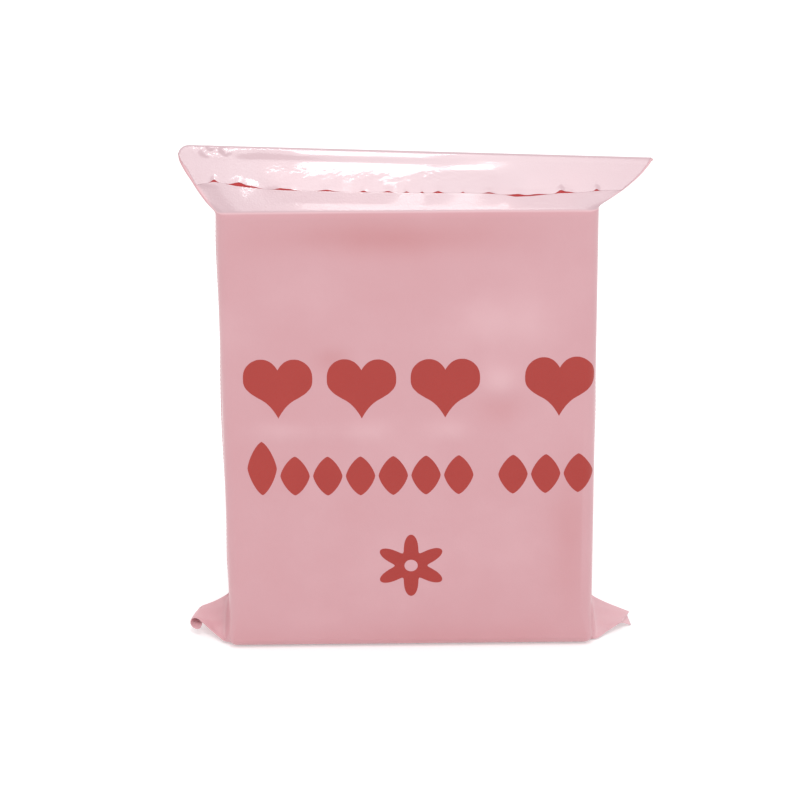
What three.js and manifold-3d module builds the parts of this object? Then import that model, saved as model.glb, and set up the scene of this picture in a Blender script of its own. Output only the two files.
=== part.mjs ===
// Poly mailer bag, packed, sealed and standing on its folded bottom.
// Millimetres. The front faces -Y, +X is to its right, +Z is up, and the floor is z = 0.
// The bag is one sheet of film, folded at the bottom and sealed up both sides. Filled with a flat
// pack it takes the pack's box shape. Above the pack the front and back close to a straight ridge
// as wide as the flat bag, and the sealing flap folds forward over that ridge. Below the pack the
// spare film at each end stands out as a flat two-layer ear.

import * as THREE from 'three';
import { LoftGeometry } from 'three/addons/geometries/LoftGeometry.js';
import { mergeVertices } from 'three/addons/utils/BufferGeometryUtils.js';
import Module from 'manifold-3d';

// Filled body
const packWidth = 200;
const packDepth = 50;
const packHeight = 262;
const faceCrown = 1.5;
const sideCrown = 0.6;
const uprightRadius = 6;
const bottomRadius = 3;
const shoulderRadius = 6;

// Gable that closes the top. The ridge is as wide as the flat bag, less what its ends take up in
// curling, and the pack sits to the left of the bag's middle.
const ridgeRiseLeft = 29.5;
const ridgeRiseRight = 20;
const ridgeTakeUp = 1.5;
const packOffset = 4.25;
const ridgeThickness = 1.6;
const ridgeCornerRadiusLeft = 6;
const ridgeCornerRadiusRight = 1;
const flarePowerLeft = 0.95;
const flarePowerRight = 1.15;
const gussetPinch = 3;

// Sealing flap, glued down on the front slope
const flapReachLeft = 21;
const flapReachMiddle = 23;
const flapReachRight = 19;
const flapThickness = 0.5;
const flapSink = 0.7;
const lipSink = 0.3;
const flapEndInset = 2;
const foldWidth = 3;
const lipWidth = 7;
// Places where the flap's free edge stands off the bag: share of the way from the pack's middle
// to its side, height off the slope, and half the length that is lifted
const lipLifts = [
  { share: -0.99, height: 0.9, halfLength: 4 },
  { share: -0.84, height: 1.8, halfLength: 9 },
  { share: -0.61, height: 0.9, halfLength: 8 },
  { share: -0.38, height: 0.8, halfLength: 8 },
  { share: 0.18, height: 0.8, halfLength: 6 },
  { share: 0.57, height: 1.2, halfLength: 11 },
  { share: 0.8, height: 2.2, halfLength: 8 },
  { share: 0.98, height: 0.8, halfLength: 4 },
];

// Ears at the two ends of the folded bottom
const earThickness = 1.2;
const earTipWidth = 3;
const earCurlRadius = 4;
const earFloorGap = 0.4;
const earBackRise = 5.8;
const earTipGap = 1.1;
const earRoot = 4;

// Heat-sealed seam down the middle of each side
const seamWidth = 1;
const seamProud = 0.8;
const seamRoot = 1.6;

// Fineness of the faceting
const faceSteps = 20;
const sideSteps = 6;
const cornerSteps = 4;
const shoulderSteps = 4;
const bodySteps = 8;
const gableSteps = 8;
const flapStations = 80;
const flapSteps = 6;
const earStations = 12;
const earSteps = 8;

const filmColour = 0xe2b4bb;

const halfWidth = packWidth / 2;
const halfDepth = packDepth / 2;
const ridgeHalf = ridgeThickness / 2;
const ridgeOverhangLeft = halfDepth - packOffset - ridgeTakeUp / 2;
const ridgeOverhangRight = halfDepth + packOffset - ridgeTakeUp / 2;
const ridgeLeft = -(halfWidth + ridgeOverhangLeft);
const ridgeRight = halfWidth + ridgeOverhangRight;
const meanRise = (ridgeRiseLeft + ridgeRiseRight) / 2;
const earFrontHeight = earFloorGap + earThickness / 2;
const LEFT = -1;
const RIGHT = 1;

const lerp = THREE.MathUtils.lerp;
const clamp = THREE.MathUtils.clamp;
const ease = (value) => THREE.MathUtils.smoothstep(value, 0, 1);

const wasm = await Module();
wasm.setup();

// Turns a closed loft into a solid that can be joined to others.
function solid(loft) {
  const surface = new THREE.BufferGeometry();
  surface.setAttribute('position', loft.attributes.position);
  surface.setIndex(loft.index);
  const merged = mergeVertices(surface, 1e-5);
  return new wasm.Manifold(new wasm.Mesh({
    numProp: 3,
    vertProperties: new Float32Array(merged.attributes.position.array),
    triVerts: new Uint32Array(merged.index.array),
  }));
}

function geometryOf(manifold) {
  const mesh = manifold.getMesh();
  const geometry = new THREE.BufferGeometry();
  geometry.setAttribute('position', new THREE.BufferAttribute(mesh.vertProperties, 3));
  geometry.setIndex(new THREE.BufferAttribute(mesh.triVerts, 1));
  geometry.computeVertexNormals();
  return geometry;
}

// How much a rounded corner of the ridge drops at distance d in from its end.
function cornerDrop(d, radius) {
  const inside = clamp(radius - d, 0, radius);
  return radius - Math.sqrt(radius * radius - inside * inside);
}

// Height of the ridge above the pack at x. It falls towards the right.
function riseAt(x) {
  const along = clamp((x - ridgeLeft) / (ridgeRight - ridgeLeft), 0, 1);
  return lerp(ridgeRiseLeft, ridgeRiseRight, along)
    - cornerDrop(x - ridgeLeft, ridgeCornerRadiusLeft)
    - cornerDrop(ridgeRight - x, ridgeCornerRadiusRight);
}

// Share of the ridge's overhang reached at height t of the gable, from 0 at the pack to 1.
const flare = (t, power) => Math.sin((Math.PI / 2) * clamp(t, 0, 1) ** power);
const flareHeight = (share, power) => ((2 / Math.PI) * Math.asin(clamp(share, 0, 1))) ** (1 / power);

function endAt(t, side) {
  return side === LEFT
    ? halfWidth + ridgeOverhangLeft * flare(t, flarePowerLeft)
    : halfWidth + ridgeOverhangRight * flare(t, flarePowerRight);
}

// One level cut through the bag: a rounded oblong whose long sides crown outwards and whose
// short sides crown out or are pinched in. Counterclockwise from above, with its points closer
// together towards the ends of the long sides.
function section({ left, right, half, radius, crown, endCrown, level }) {
  const r = Math.min(radius, half * 0.95);
  const points = [];
  const add = (x, y) => points.push(new THREE.Vector3(x, y, level(x)));
  const face = (from, to, y) => {
    for (let i = 0; i < faceSteps; i++) {
      const u = (1 - Math.cos((Math.PI * i) / faceSteps)) / 2;
      add(lerp(from, to, u), y + Math.sign(y) * crown * (1 - (2 * u - 1) ** 2));
    }
  };
  const end = (x, from, to) => {
    for (let i = 0; i < sideSteps; i++) {
      const u = i / sideSteps;
      add(x + Math.sign(x) * endCrown * (1 - (2 * u - 1) ** 2), lerp(from, to, u));
    }
  };
  const corner = (x, y, start) => {
    for (let i = 0; i < cornerSteps; i++) {
      const angle = start + (i / cornerSteps) * (Math.PI / 2);
      add(x + r * Math.cos(angle), y + r * Math.sin(angle));
    }
  };
  face(-left + r, right - r, -half);
  corner(right - r, -half + r, -Math.PI / 2);
  end(right, -half + r, half - r);
  corner(right - r, half - r, 0);
  face(right - r, -left + r, half);
  corner(-left + r, half - r, Math.PI / 2);
  end(-left, half - r, -half + r);
  corner(-left + r, -half + r, Math.PI);
  return points;
}

// Filled body and gable in one loft, from the floor to the ridge.
function filledBag() {
  const slopeAngle = Math.atan2(halfDepth - ridgeHalf, meanRise);
  const tangent = shoulderRadius * Math.tan(slopeAngle / 2);
  const shoulderTop = (tangent * Math.cos(slopeAngle)) / meanRise;
  const sections = [];

  for (let i = 0; i <= cornerSteps; i++) {
    const angle = (i / cornerSteps) * (Math.PI / 2);
    const inset = bottomRadius * (1 - Math.sin(angle));
    const z = bottomRadius * (1 - Math.cos(angle));
    sections.push(section({
      left: halfWidth - inset,
      right: halfWidth - inset,
      half: halfDepth - inset,
      radius: uprightRadius,
      crown: 0,
      endCrown: 0,
      level: () => z,
    }));
  }

  for (let i = 1; i <= bodySteps; i++) {
    const z = lerp(bottomRadius, packHeight - tangent, i / bodySteps);
    const swell = 1 - Math.abs((2 * i) / bodySteps - 1) ** 3;
    sections.push(section({
      left: halfWidth,
      right: halfWidth,
      half: halfDepth,
      radius: uprightRadius,
      crown: faceCrown * swell,
      endCrown: sideCrown * swell,
      level: () => z,
    }));
  }

  for (let i = 1; i <= shoulderSteps; i++) {
    const angle = (i / shoulderSteps) * slopeAngle;
    const z = packHeight - tangent + shoulderRadius * Math.sin(angle);
    const t = (z - packHeight) / meanRise;
    sections.push(section({
      left: endAt(t, LEFT),
      right: endAt(t, RIGHT),
      half: halfDepth - shoulderRadius * (1 - Math.cos(angle)),
      radius: uprightRadius,
      crown: 0,
      endCrown: -gussetPinch * Math.sin(Math.PI * clamp(t, 0, 1)),
      level: (x) => packHeight + t * (t > 0 ? riseAt(x) : meanRise),
    }));
  }

  for (let i = 1; i <= gableSteps; i++) {
    const t = lerp(shoulderTop, 1, i / gableSteps);
    sections.push(section({
      left: endAt(t, LEFT),
      right: endAt(t, RIGHT),
      half: lerp(halfDepth, ridgeHalf, t),
      radius: uprightRadius,
      crown: 0,
      endCrown: -gussetPinch * Math.sin(Math.PI * t),
      level: (x) => packHeight + t * riseAt(x),
    }));
  }

  sections.push(section({
    left: endAt(1, LEFT) - ridgeHalf / 2,
    right: endAt(1, RIGHT) - ridgeHalf / 2,
    half: ridgeHalf / 2,
    radius: uprightRadius,
    crown: 0,
    endCrown: 0,
    level: (x) => packHeight + riseAt(x) + ridgeHalf / 2,
  }));

  return solid(new LoftGeometry(sections, { capStart: true, capEnd: true }));
}

// Length of flap below the ridge at x, cut short where the slope itself ends.
function flapReachAt(x, slopeLength) {
  const share = (x - ridgeLeft) / (ridgeRight - ridgeLeft);
  const reach = share < 0.5
    ? lerp(flapReachLeft, flapReachMiddle, ease(2 * share))
    : lerp(flapReachMiddle, flapReachRight, ease(2 * share - 1));
  const overhang = x < 0 ? ridgeOverhangLeft : ridgeOverhangRight;
  const power = x < 0 ? flarePowerLeft : flarePowerRight;
  const lowest = flareHeight((Math.abs(x) - halfWidth) / overhang, power);
  return Math.min(reach, slopeLength * (1 - lowest));
}

const lipLiftAt = (x) => lipLifts.reduce((sum, lift) => {
  const away = (x - lift.share * halfWidth) / lift.halfLength;
  return sum + lift.height * Math.exp(-away * away);
}, 0);

// The flap: a strip that leaves the back film at the ridge, lies on the front slope and ends in
// a free edge, which stands off the slope where lipLifts says so.
function sealingFlap() {
  const sections = [];
  for (let i = 0; i <= flapStations; i++) {
    const x = lerp(ridgeLeft + flapEndInset, ridgeRight - flapEndInset, i / flapStations);
    const rise = riseAt(x);
    const down = new THREE.Vector2(ridgeHalf - halfDepth, -rise);
    const slopeLength = down.length();
    down.normalize();
    const out = new THREE.Vector2(down.y, -down.x);
    const reach = flapReachAt(x, slopeLength);
    const lift = lipLiftAt(x);
    const outer = [];
    const inner = [];
    for (let j = 0; j <= flapSteps; j++) {
      const d = (j / flapSteps) * reach;
      const stand = lift * ease((d - reach + lipWidth) / lipWidth);
      const skin = flapThickness * ease(d / foldWidth);
      const sink = lerp(flapSink, lipSink, ease(stand / flapThickness));
      const at = (offset) => new THREE.Vector3(
        x,
        -ridgeHalf + down.x * d + out.x * offset,
        packHeight + rise + down.y * d + out.y * offset,
      );
      outer.push(at(stand + skin));
      inner.push(at(stand - sink));
    }
    sections.push([...outer, ...inner.reverse()]);
  }
  return solid(new LoftGeometry(sections, { capStart: true, capEnd: true }));
}

// Middle line of an ear, by the distance s out from the side: out level, then curled down to
// stop just above the floor.
function earLine(s) {
  const straight = halfDepth - (earCurlRadius * Math.PI) / 2;
  const base = earFrontHeight + earBackRise / 2;
  const top = earCurlRadius + earTipGap;
  if (s <= straight) {
    return { out: s, height: lerp(base, top, ease(s / straight)), angle: 0 };
  }
  const angle = (s - straight) / earCurlRadius;
  return {
    out: straight + earCurlRadius * Math.sin(angle),
    height: top - earCurlRadius * (1 - Math.cos(angle)),
    angle,
  };
}

// An ear: a flat triangle of doubled film, as long as half the pack's depth, its back edge higher
// than its front edge and its tip curled down.
function ear(side) {
  const sections = [];
  for (let i = 0; i <= earStations; i++) {
    const s = lerp(-earRoot, halfDepth, i / earStations);
    const middle = earLine(s);
    const share = clamp(s / halfDepth, 0, 1);
    const half = lerp(halfDepth - bottomRadius / 2, earTipWidth / 2, share);
    const tilt = (earBackRise / packDepth) * (1 - share);
    const ring = [];
    for (let j = 0; j < 2 * earSteps; j++) {
      const angle = (j / (2 * earSteps)) * 2 * Math.PI;
      const y = half * Math.cos(angle);
      const thick = (earThickness / 2) * Math.sign(Math.sin(angle)) * Math.abs(Math.sin(angle)) ** 0.4;
      ring.push(new THREE.Vector3(
        side * (halfWidth + middle.out + thick * Math.sin(middle.angle)),
        y,
        middle.height + tilt * y + thick * Math.cos(middle.angle),
      ));
    }
    sections.push(side === RIGHT ? ring : ring.reverse());
  }
  return solid(new LoftGeometry(sections, { capStart: true, capEnd: true }));
}

// The sealed seam: a narrow bead up the middle of a side, then out under the gable to the ridge.
function sideSeam(side) {
  const line = [];
  const bottom = earFrontHeight + earBackRise;
  for (let i = 0; i <= bodySteps; i++) {
    const z = lerp(bottom, packHeight, i / bodySteps);
    const swell = 1 - Math.abs((2 * z) / packHeight - 1) ** 3;
    line.push(new THREE.Vector2(halfWidth + sideCrown * swell, z));
  }
  for (let i = 1; i < gableSteps; i++) {
    const t = i / gableSteps;
    const x = endAt(t, side) - gussetPinch * Math.sin(Math.PI * t);
    line.push(new THREE.Vector2(x, packHeight + t * riseAt(side * x)));
  }
  const sections = line.map((point, i) => {
    const before = line[Math.max(i - 1, 0)];
    const after = line[Math.min(i + 1, line.length - 1)];
    const along = after.clone().sub(before).normalize();
    const out = new THREE.Vector2(along.y, -along.x);
    const at = (offset, y) => new THREE.Vector3(
      side * (point.x + out.x * offset), y, point.y + out.y * offset);
    const ring = [
      at(-seamRoot, -seamWidth / 2),
      at(seamProud, -seamWidth / 2),
      at(seamProud, seamWidth / 2),
      at(-seamRoot, seamWidth / 2),
    ];
    return side === RIGHT ? ring : ring.reverse();
  });
  return solid(new LoftGeometry(sections, { capStart: true, capEnd: true }));
}

const bagSolid = filledBag()
  .add(sealingFlap())
  .add(ear(LEFT))
  .add(ear(RIGHT))
  .add(sideSeam(LEFT))
  .add(sideSeam(RIGHT));

const film = new THREE.MeshStandardMaterial({ color: filmColour, roughness: 0.35, metalness: 0 });
const mailerBag = new THREE.Mesh(geometryOf(bagSolid), film);
mailerBag.name = 'mailer_bag';

// The ridge overhangs further on one side, so the bag is moved until its outline is centred.
mailerBag.geometry.computeBoundingBox();
const outline = mailerBag.geometry.boundingBox;
mailerBag.position.set(-(outline.min.x + outline.max.x) / 2, -(outline.min.y + outline.max.y) / 2, 0);

const bag = new THREE.Group();
bag.add(mailerBag);

export default bag;
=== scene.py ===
import bpy
import numpy as np
from mathutils import Matrix


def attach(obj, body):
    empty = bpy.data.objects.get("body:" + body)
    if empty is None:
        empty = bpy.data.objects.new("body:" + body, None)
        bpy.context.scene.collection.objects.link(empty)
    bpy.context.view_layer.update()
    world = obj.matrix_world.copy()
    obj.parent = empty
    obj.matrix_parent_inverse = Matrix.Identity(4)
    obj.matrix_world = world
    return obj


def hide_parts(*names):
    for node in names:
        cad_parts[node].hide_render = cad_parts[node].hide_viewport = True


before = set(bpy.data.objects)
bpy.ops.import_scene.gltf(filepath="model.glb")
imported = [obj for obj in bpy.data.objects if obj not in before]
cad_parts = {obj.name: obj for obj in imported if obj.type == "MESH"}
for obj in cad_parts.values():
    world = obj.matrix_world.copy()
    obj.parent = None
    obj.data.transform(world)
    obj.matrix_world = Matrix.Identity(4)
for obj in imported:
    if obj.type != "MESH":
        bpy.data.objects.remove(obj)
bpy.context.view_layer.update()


# Camera. It looks down at the front of the bag from 27 degrees, through a long lens from
# almost two metres away, so the upright edges of the bag hardly lean together.
def look_along(thing, place, sight, roll):
    """Puts a camera or a light at a place, looking along a direction. Its right is level and its
    up is square to both, and the two are then turned by the roll in degrees."""
    sight = sight / np.linalg.norm(sight)
    level = np.cross(sight, [0.0, 0.0, 1.0])
    level /= np.linalg.norm(level)
    upright = np.cross(level, sight)
    turn = np.radians(roll)
    right = level * np.cos(turn) + upright * np.sin(turn)
    up = upright * np.cos(turn) - level * np.sin(turn)
    rows = np.stack([right, up, -sight, place], axis=1).tolist()
    thing.matrix_world = Matrix(rows + [[0, 0, 0, 1]])


ELEVATION, AZIMUTH, ROLL = 27.22, 0.71, -0.19
DISTANCE = 1.9301
TARGET = np.array([-0.00723, 0.0, 0.14088])

camera_data = bpy.data.cameras.new("camera")
camera_data.lens, camera_data.sensor_width, camera_data.clip_end = 160.39, 36.0, 50.0
camera = bpy.data.objects.new("camera", camera_data)
bpy.context.collection.objects.link(camera)
bpy.context.scene.camera = camera
rise, turn = np.radians([ELEVATION, AZIMUTH])
sight = np.array([np.sin(turn) * np.cos(rise), np.cos(turn) * np.cos(rise), -np.sin(rise)])
look_along(camera, TARGET - DISTANCE * sight, sight, ROLL)


# Studio. A white floor and a white surround that the camera and the glossy film both see, one
# wide soft light overhead, and one small bright panel that draws the streaks on the film.
WHITE = (1.0, 1.0, 1.0, 1.0)
SURROUND_LIGHT, SURROUND_SEEN = 0.84, 1.0
FLOOR_WHITE, FLOOR_LIFT = 0.92, 0.3
FLOOR_HALF, FLOOR_DROP = 9.0, 0.0004


def soft_panel(name, place, target, width, height, roll, watts):
    """A rectangular light at one point that faces another, rolled about its line of sight."""
    data = bpy.data.lights.new(name, "AREA")
    data.shape = "RECTANGLE"
    data.size, data.size_y, data.energy = width, height, watts
    panel = bpy.data.objects.new(name, data)
    bpy.context.collection.objects.link(panel)
    look_along(panel, np.array(place), np.subtract(target, place), roll)


def sum_node(tree, operation, *given):
    """The result of one sum on numbers or on the results of other nodes."""
    node = tree.nodes.new("ShaderNodeMath")
    node.operation = operation
    for place, value in enumerate(given):
        if isinstance(value, (int, float)):
            node.inputs[place].default_value = value
        else:
            tree.links.new(value, node.inputs[place])
    return node.outputs[0]


soft_panel("overhead_light", place=(0.06, -0.9, 2.33), target=(0.0, -0.02, 0.27),
           width=0.75, height=0.95, roll=0.0, watts=8.5)
soft_panel("streak_light", place=(0.076, -1.0, 2.462), target=(0.0, -0.02, 0.275),
           width=0.4425, height=0.137, roll=56.9, watts=3.2)

bpy.context.scene.view_settings.view_transform = "Standard"

world = bpy.data.worlds.new("surround")
bpy.context.scene.world = world
world.use_nodes = True
tree = world.node_tree
tree.nodes.clear()
path = tree.nodes.new("ShaderNodeLightPath").outputs
seen = sum_node(tree, "MAXIMUM", path["Is Camera Ray"], path["Is Glossy Ray"])
seen = sum_node(tree, "MAXIMUM", seen, path["Is Transmission Ray"])
surround = tree.nodes.new("ShaderNodeMixShader")
tree.links.new(seen, surround.inputs["Fac"])
for socket, strength in ((1, SURROUND_LIGHT), (2, SURROUND_SEEN)):
    glow = tree.nodes.new("ShaderNodeBackground")
    glow.inputs["Color"].default_value = WHITE
    glow.inputs["Strength"].default_value = strength
    tree.links.new(glow.outputs["Background"], surround.inputs[socket])
world_output = tree.nodes.new("ShaderNodeOutputWorld")
tree.links.new(surround.outputs["Shader"], world_output.inputs["Surface"])

floor_mesh = bpy.data.meshes.new("floor")
floor_corners = [(x * FLOOR_HALF, y * FLOOR_HALF, -FLOOR_DROP)
                 for x, y in ((-1, -1), (1, -1), (1, 1), (-1, 1))]
floor_mesh.from_pydata(floor_corners, [], [(0, 1, 2, 3)])
floor = bpy.data.objects.new("floor", floor_mesh)
bpy.context.collection.objects.link(floor)
floor_paint = bpy.data.materials.new("floor_paint")
floor_paint.use_nodes = True
tree = floor_paint.node_tree
paint = tree.nodes["Principled BSDF"]
paint.inputs["Base Color"].default_value = (FLOOR_WHITE, FLOOR_WHITE, FLOOR_WHITE, 1.0)
paint.inputs["Roughness"].default_value = 0.9
paint.inputs["Specular IOR Level"].default_value = 0.0
path = tree.nodes.new("ShaderNodeLightPath").outputs
looked_at = sum_node(tree, "MAXIMUM", path["Is Camera Ray"], path["Is Glossy Ray"])
lift = tree.nodes.new("ShaderNodeEmission")
tree.links.new(sum_node(tree, "MULTIPLY", looked_at, FLOOR_LIFT), lift.inputs["Strength"])
lifted = tree.nodes.new("ShaderNodeAddShader")
tree.links.new(paint.outputs["BSDF"], lifted.inputs[0])
tree.links.new(lift.outputs["Emission"], lifted.inputs[1])
tree.links.new(lifted.outputs["Shader"], tree.nodes["Material Output"].inputs["Surface"])
floor_mesh.materials.append(floor_paint)


# Filled body, gable and ears. One sheet of pink polyethylene film, blown thin and glossy, drawn
# tight round a flat pack, folded at the foot and welded up both sides. The spare film at the
# foot of each side lies doubled as a triangle: the left tip has rolled under, the right is creased.
def linear(red, green, blue):
    """The linear colour of an 8-bit display colour."""
    shares = np.array([red, green, blue]) / 255
    light = np.where(shares <= 0.04045, shares / 12.92, ((shares + 0.055) / 1.055) ** 2.4)
    return (*light.tolist(), 1.0)


# The film's surface has a fine pebbled skin and a slight ripple. Its tone is deep where it lies
# taut on the pack and pale where it lies on film, and the same scale carries painted shade and
# painted light: the pale free tone also paints in part of the slopes' sheen. Sizes are in metres.
FREE_FILM_AND_SHEEN, DOUBLED_FILM = linear(213, 181, 188), linear(240, 195, 201)
SLACK_FILM, TIGHT_FILM_AND_SHADE = linear(221, 166, 173), linear(212, 146, 151)
PEBBLE_SIZE, RIPPLE_SIZE, CLOUD_SWING = 0.0009, 0.005, 0.8

# The front is printed flat in brick-red ink before the bag is made up: four hearts, a row of
# lozenges and one flower. Sizes are in millimetres, and the hearts' outline is in shares of them.
MILLIMETRE = 0.001
INK_RED, INK_PALE = linear(169, 34, 24), linear(182, 47, 36)
HEARTS_AT, HEART_LEVEL = (-72.6, -28.0, 16.6, 77.5), 167.6
HEART_HALF, HEART_SCALE = 18.5, 24.0
HEART_TOP = [(0, 0.2), (0.1, 0.32), (0.25, 0.42), (0.48, 0.465), (0.7, 0.42), (0.86, 0.32),
             (0.96, 0.19), (1, 0)]
HEART_POINT = [(0, -1), (0.14, -0.81), (0.27, -0.68), (0.41, -0.58), (0.63, -0.47),
               (0.84, -0.34), (0.97, -0.19), (1, 0)]
LOZENGE_PITCH, LOZENGE_COUNT = 17.65, 10
LOZENGE_HALF_WIDTH, LOZENGE_HALF_HEIGHT, FIRST_TALLER = 7.9, 11.9, 4.4
FIRST_LOZENGE, LOZENGE_FOOT = -81.9, 96.8
LOZENGE_BREAK, BREAK_WIDTH = 38.6, 11.6
FLOWER_X, FLOWER_Z = -1.8, 52.6
PETAL_REACH, PETAL_SWING, FLOWER_HOLE = 14.2, 5.2, 3.6
PRINTED_BEFORE = -20.0


def value_socket(group, name, kind, way):
    """A named input or output of a node group."""
    return group.interface.new_socket(name=name, in_out=way, socket_type="NodeSocket" + kind)


def film_skin_group():
    """Pebbles and ripple as one height in metres, and broad clouds as a share from 0 to 1."""
    group = bpy.data.node_groups.new("film_skin", "ShaderNodeTree")
    value_socket(group, "Vector", "Vector", "INPUT")
    for name in ("Pebble Size", "Pebble Depth", "Ripple Size", "Ripple Depth"):
        value_socket(group, name, "Float", "INPUT")
    value_socket(group, "Cloud", "Float", "OUTPUT")
    value_socket(group, "Height", "Float", "OUTPUT")
    given = group.nodes.new("NodeGroupInput").outputs
    result = group.nodes.new("NodeGroupOutput").inputs
    heights = []
    for size, depth in (("Pebble Size", "Pebble Depth"), ("Ripple Size", "Ripple Depth")):
        grain = group.nodes.new("ShaderNodeTexNoise")
        grain.inputs["Detail"].default_value = 1.0
        group.links.new(given["Vector"], grain.inputs["Vector"])
        group.links.new(sum_node(group, "DIVIDE", 1.0, given[size]), grain.inputs["Scale"])
        heights.append(sum_node(group, "MULTIPLY", grain.outputs["Fac"], given[depth]))
    group.links.new(sum_node(group, "ADD", *heights), result["Height"])
    cloud = group.nodes.new("ShaderNodeTexNoise")
    cloud.inputs["Scale"].default_value = 22.0
    cloud.inputs["Detail"].default_value = 3.0
    group.links.new(given["Vector"], cloud.inputs["Vector"])
    group.links.new(cloud.outputs["Fac"], result["Cloud"])
    return group


def hearts_ink(group, x, z):
    """1 inside a heart: what lies between an upper and a lower curve of the distance from the
    nearest heart's middle line."""
    apart = None
    for middle in HEARTS_AT:
        distance = sum_node(group, "ABSOLUTE", sum_node(group, "SUBTRACT", x, middle))
        apart = distance if apart is None else sum_node(group, "MINIMUM", apart, distance)
    share = sum_node(group, "DIVIDE", apart, HEART_HALF)
    edges = []
    for outline in (HEART_TOP, HEART_POINT):
        curve = group.nodes.new("ShaderNodeFloatCurve")
        curve.mapping.use_clip = False
        line = curve.mapping.curves[0].points
        while len(line) < len(outline):
            line.new(0.5, 0.5)
        for place, (across, up) in zip(line, outline):
            place.location = (across, up)
        curve.mapping.update()
        group.links.new(share, curve.inputs["Value"])
        edges.append(sum_node(group, "MULTIPLY", curve.outputs["Value"], HEART_SCALE))
    level = sum_node(group, "SUBTRACT", z, HEART_LEVEL)
    heart = sum_node(group, "MULTIPLY", sum_node(group, "LESS_THAN", level, edges[0]),
                     sum_node(group, "GREATER_THAN", level, edges[1]))
    return sum_node(group, "MULTIPLY", heart, sum_node(group, "LESS_THAN", apart, HEART_HALF))


def lozenges_ink(group, x, z):
    """1 inside a lozenge: where the 1.4th powers of the two distances from its middle, as shares
    of its half sizes, add to less than one. The row is one pattern of equal pitch with a break
    in it, and its first lozenge is taller. All stand on one level."""
    past_break = sum_node(group, "GREATER_THAN", x, LOZENGE_BREAK)
    moved = sum_node(group, "SUBTRACT", x, sum_node(group, "MULTIPLY", past_break, BREAK_WIDTH))
    from_first = sum_node(group, "ADD", moved, -FIRST_LOZENGE)
    from_middle = sum_node(group, "PINGPONG", from_first, LOZENGE_PITCH / 2)
    beside = sum_node(group, "DIVIDE", from_middle, LOZENGE_HALF_WIDTH)
    is_first = sum_node(group, "LESS_THAN", from_first, LOZENGE_PITCH / 2)
    half = sum_node(group, "ADD", LOZENGE_HALF_HEIGHT,
                    sum_node(group, "MULTIPLY", is_first, FIRST_TALLER))
    from_level = sum_node(group, "SUBTRACT", z, sum_node(group, "ADD", half, LOZENGE_FOOT))
    above = sum_node(group, "ABSOLUTE", sum_node(group, "DIVIDE", from_level, half))
    outer = sum_node(group, "ADD", sum_node(group, "POWER", beside, 1.4),
                     sum_node(group, "POWER", above, 1.4))
    from_break = sum_node(group, "ABSOLUTE", sum_node(group, "SUBTRACT", x, LOZENGE_BREAK))
    lozenge = sum_node(group, "LESS_THAN", outer, 1.0)
    for limit in (sum_node(group, "GREATER_THAN", from_first, -LOZENGE_PITCH / 2),
                  sum_node(group, "LESS_THAN", from_first, (LOZENGE_COUNT - 0.5) * LOZENGE_PITCH),
                  sum_node(group, "GREATER_THAN", from_break, BREAK_WIDTH / 2)):
        lozenge = sum_node(group, "MULTIPLY", lozenge, limit)
    return lozenge


def flower_ink(group, x, z):
    """1 inside the flower: a petal reaches as far as the cosine of six times the angle round the
    flower's middle lets it, and the middle is left open."""
    across, up = sum_node(group, "SUBTRACT", x, FLOWER_X), sum_node(group, "SUBTRACT", z, FLOWER_Z)
    squares = sum_node(group, "ADD", sum_node(group, "MULTIPLY", across, across),
                       sum_node(group, "MULTIPLY", up, up))
    far = sum_node(group, "SQRT", squares)
    six_times = sum_node(group, "MULTIPLY", sum_node(group, "ARCTAN2", across, up), 6.0)
    swing = sum_node(group, "MULTIPLY", sum_node(group, "COSINE", six_times), PETAL_SWING)
    petal = sum_node(group, "ADD", PETAL_REACH, swing)
    return sum_node(group, "MULTIPLY", sum_node(group, "LESS_THAN", far, petal),
                    sum_node(group, "GREATER_THAN", far, FLOWER_HOLE))


def front_print_group():
    """Where the ink lies, as 0 or 1, from plain shapes measured in millimetres on the front."""
    group = bpy.data.node_groups.new("front_print", "ShaderNodeTree")
    value_socket(group, "Vector", "Vector", "INPUT")
    value_socket(group, "Ink", "Float", "OUTPUT")
    given = group.nodes.new("NodeGroupInput").outputs
    result = group.nodes.new("NodeGroupOutput").inputs
    axes = group.nodes.new("ShaderNodeSeparateXYZ")
    group.links.new(given["Vector"], axes.inputs[0])
    x = sum_node(group, "MULTIPLY", axes.outputs["X"], 1 / MILLIMETRE)
    z = sum_node(group, "MULTIPLY", axes.outputs["Z"], 1 / MILLIMETRE)
    shapes = sum_node(group, "MAXIMUM", hearts_ink(group, x, z),
                      sum_node(group, "MAXIMUM", lozenges_ink(group, x, z), flower_ink(group, x, z)))
    on_front = sum_node(group, "LESS_THAN", axes.outputs["Y"], PRINTED_BEFORE * MILLIMETRE)
    group.links.new(sum_node(group, "MULTIPLY", shapes, on_front), result["Ink"])
    return group


film_skin = film_skin_group()
front_print = front_print_group()


def mixed_colour(tree, share, first, second):
    """A colour between two others, each a fixed colour or the result of another node."""
    mix = tree.nodes.new("ShaderNodeMix")
    mix.data_type = "RGBA"
    tree.links.new(share, mix.inputs["Factor"])
    for socket, colour in (("A", first), ("B", second)):
        if isinstance(colour, tuple):
            mix.inputs[socket].default_value = colour
        else:
            tree.links.new(colour, mix.inputs[socket])
    return mix.outputs["Result"]


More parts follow.
